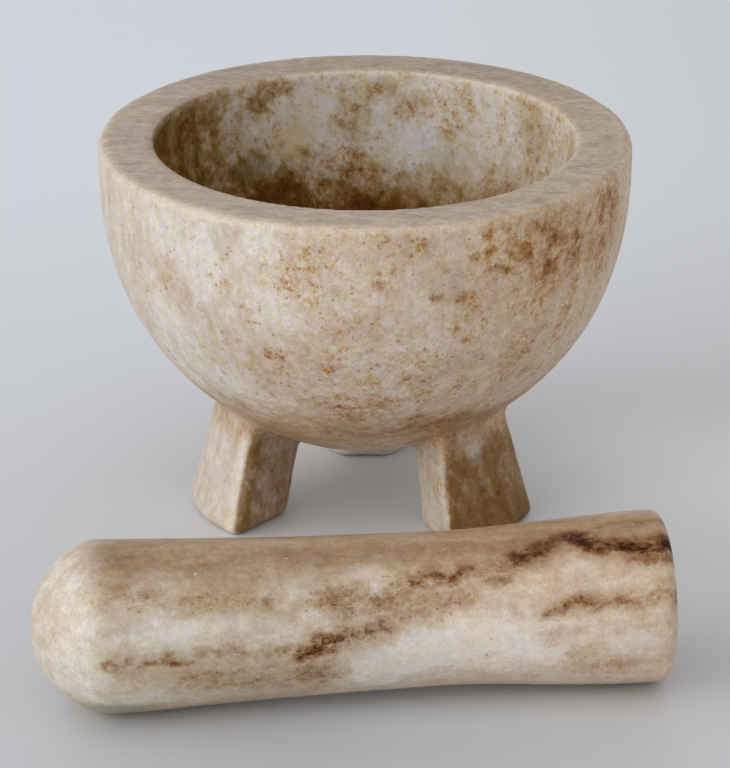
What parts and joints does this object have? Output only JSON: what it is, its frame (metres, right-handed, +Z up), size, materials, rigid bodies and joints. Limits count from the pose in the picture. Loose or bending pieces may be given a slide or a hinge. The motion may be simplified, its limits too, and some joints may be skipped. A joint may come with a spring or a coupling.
{
  "type": "mortar and pestle",
  "caption": "Stone mortar with a deep round bowl, a broad flat rim and three short wedge legs, with a loose waisted pestle lying in front of it.",
  "frame": {"origin": "on the axis of the mortar's bowl, at the flat surface that its three feet stand on", "axes": "+Z up along the axis of the bowl, +Y towards the back leg and away from the pestle, +X along the pestle, from its domed head to its butt"},
  "size_m": [0.1443, 0.2101, 0.091],
  "materials": {
    "mortar_stone": "honed beige marble, brown speckles and grey clouds",
    "pestle_stone": "honed pinkish beige marble, brown veins along its length"
  },
  "bodies": {
    "mortar": {"mortar": "mortar_stone"},
    "pestle": {"pestle": "pestle_stone"}
  },
  "joints": [
    {"name": "pestle_lift", "type": "slide", "parent": "mortar", "child": "pestle", "axis": [0, 0, 1], "range_m": [0, 0.15]}
  ]
}
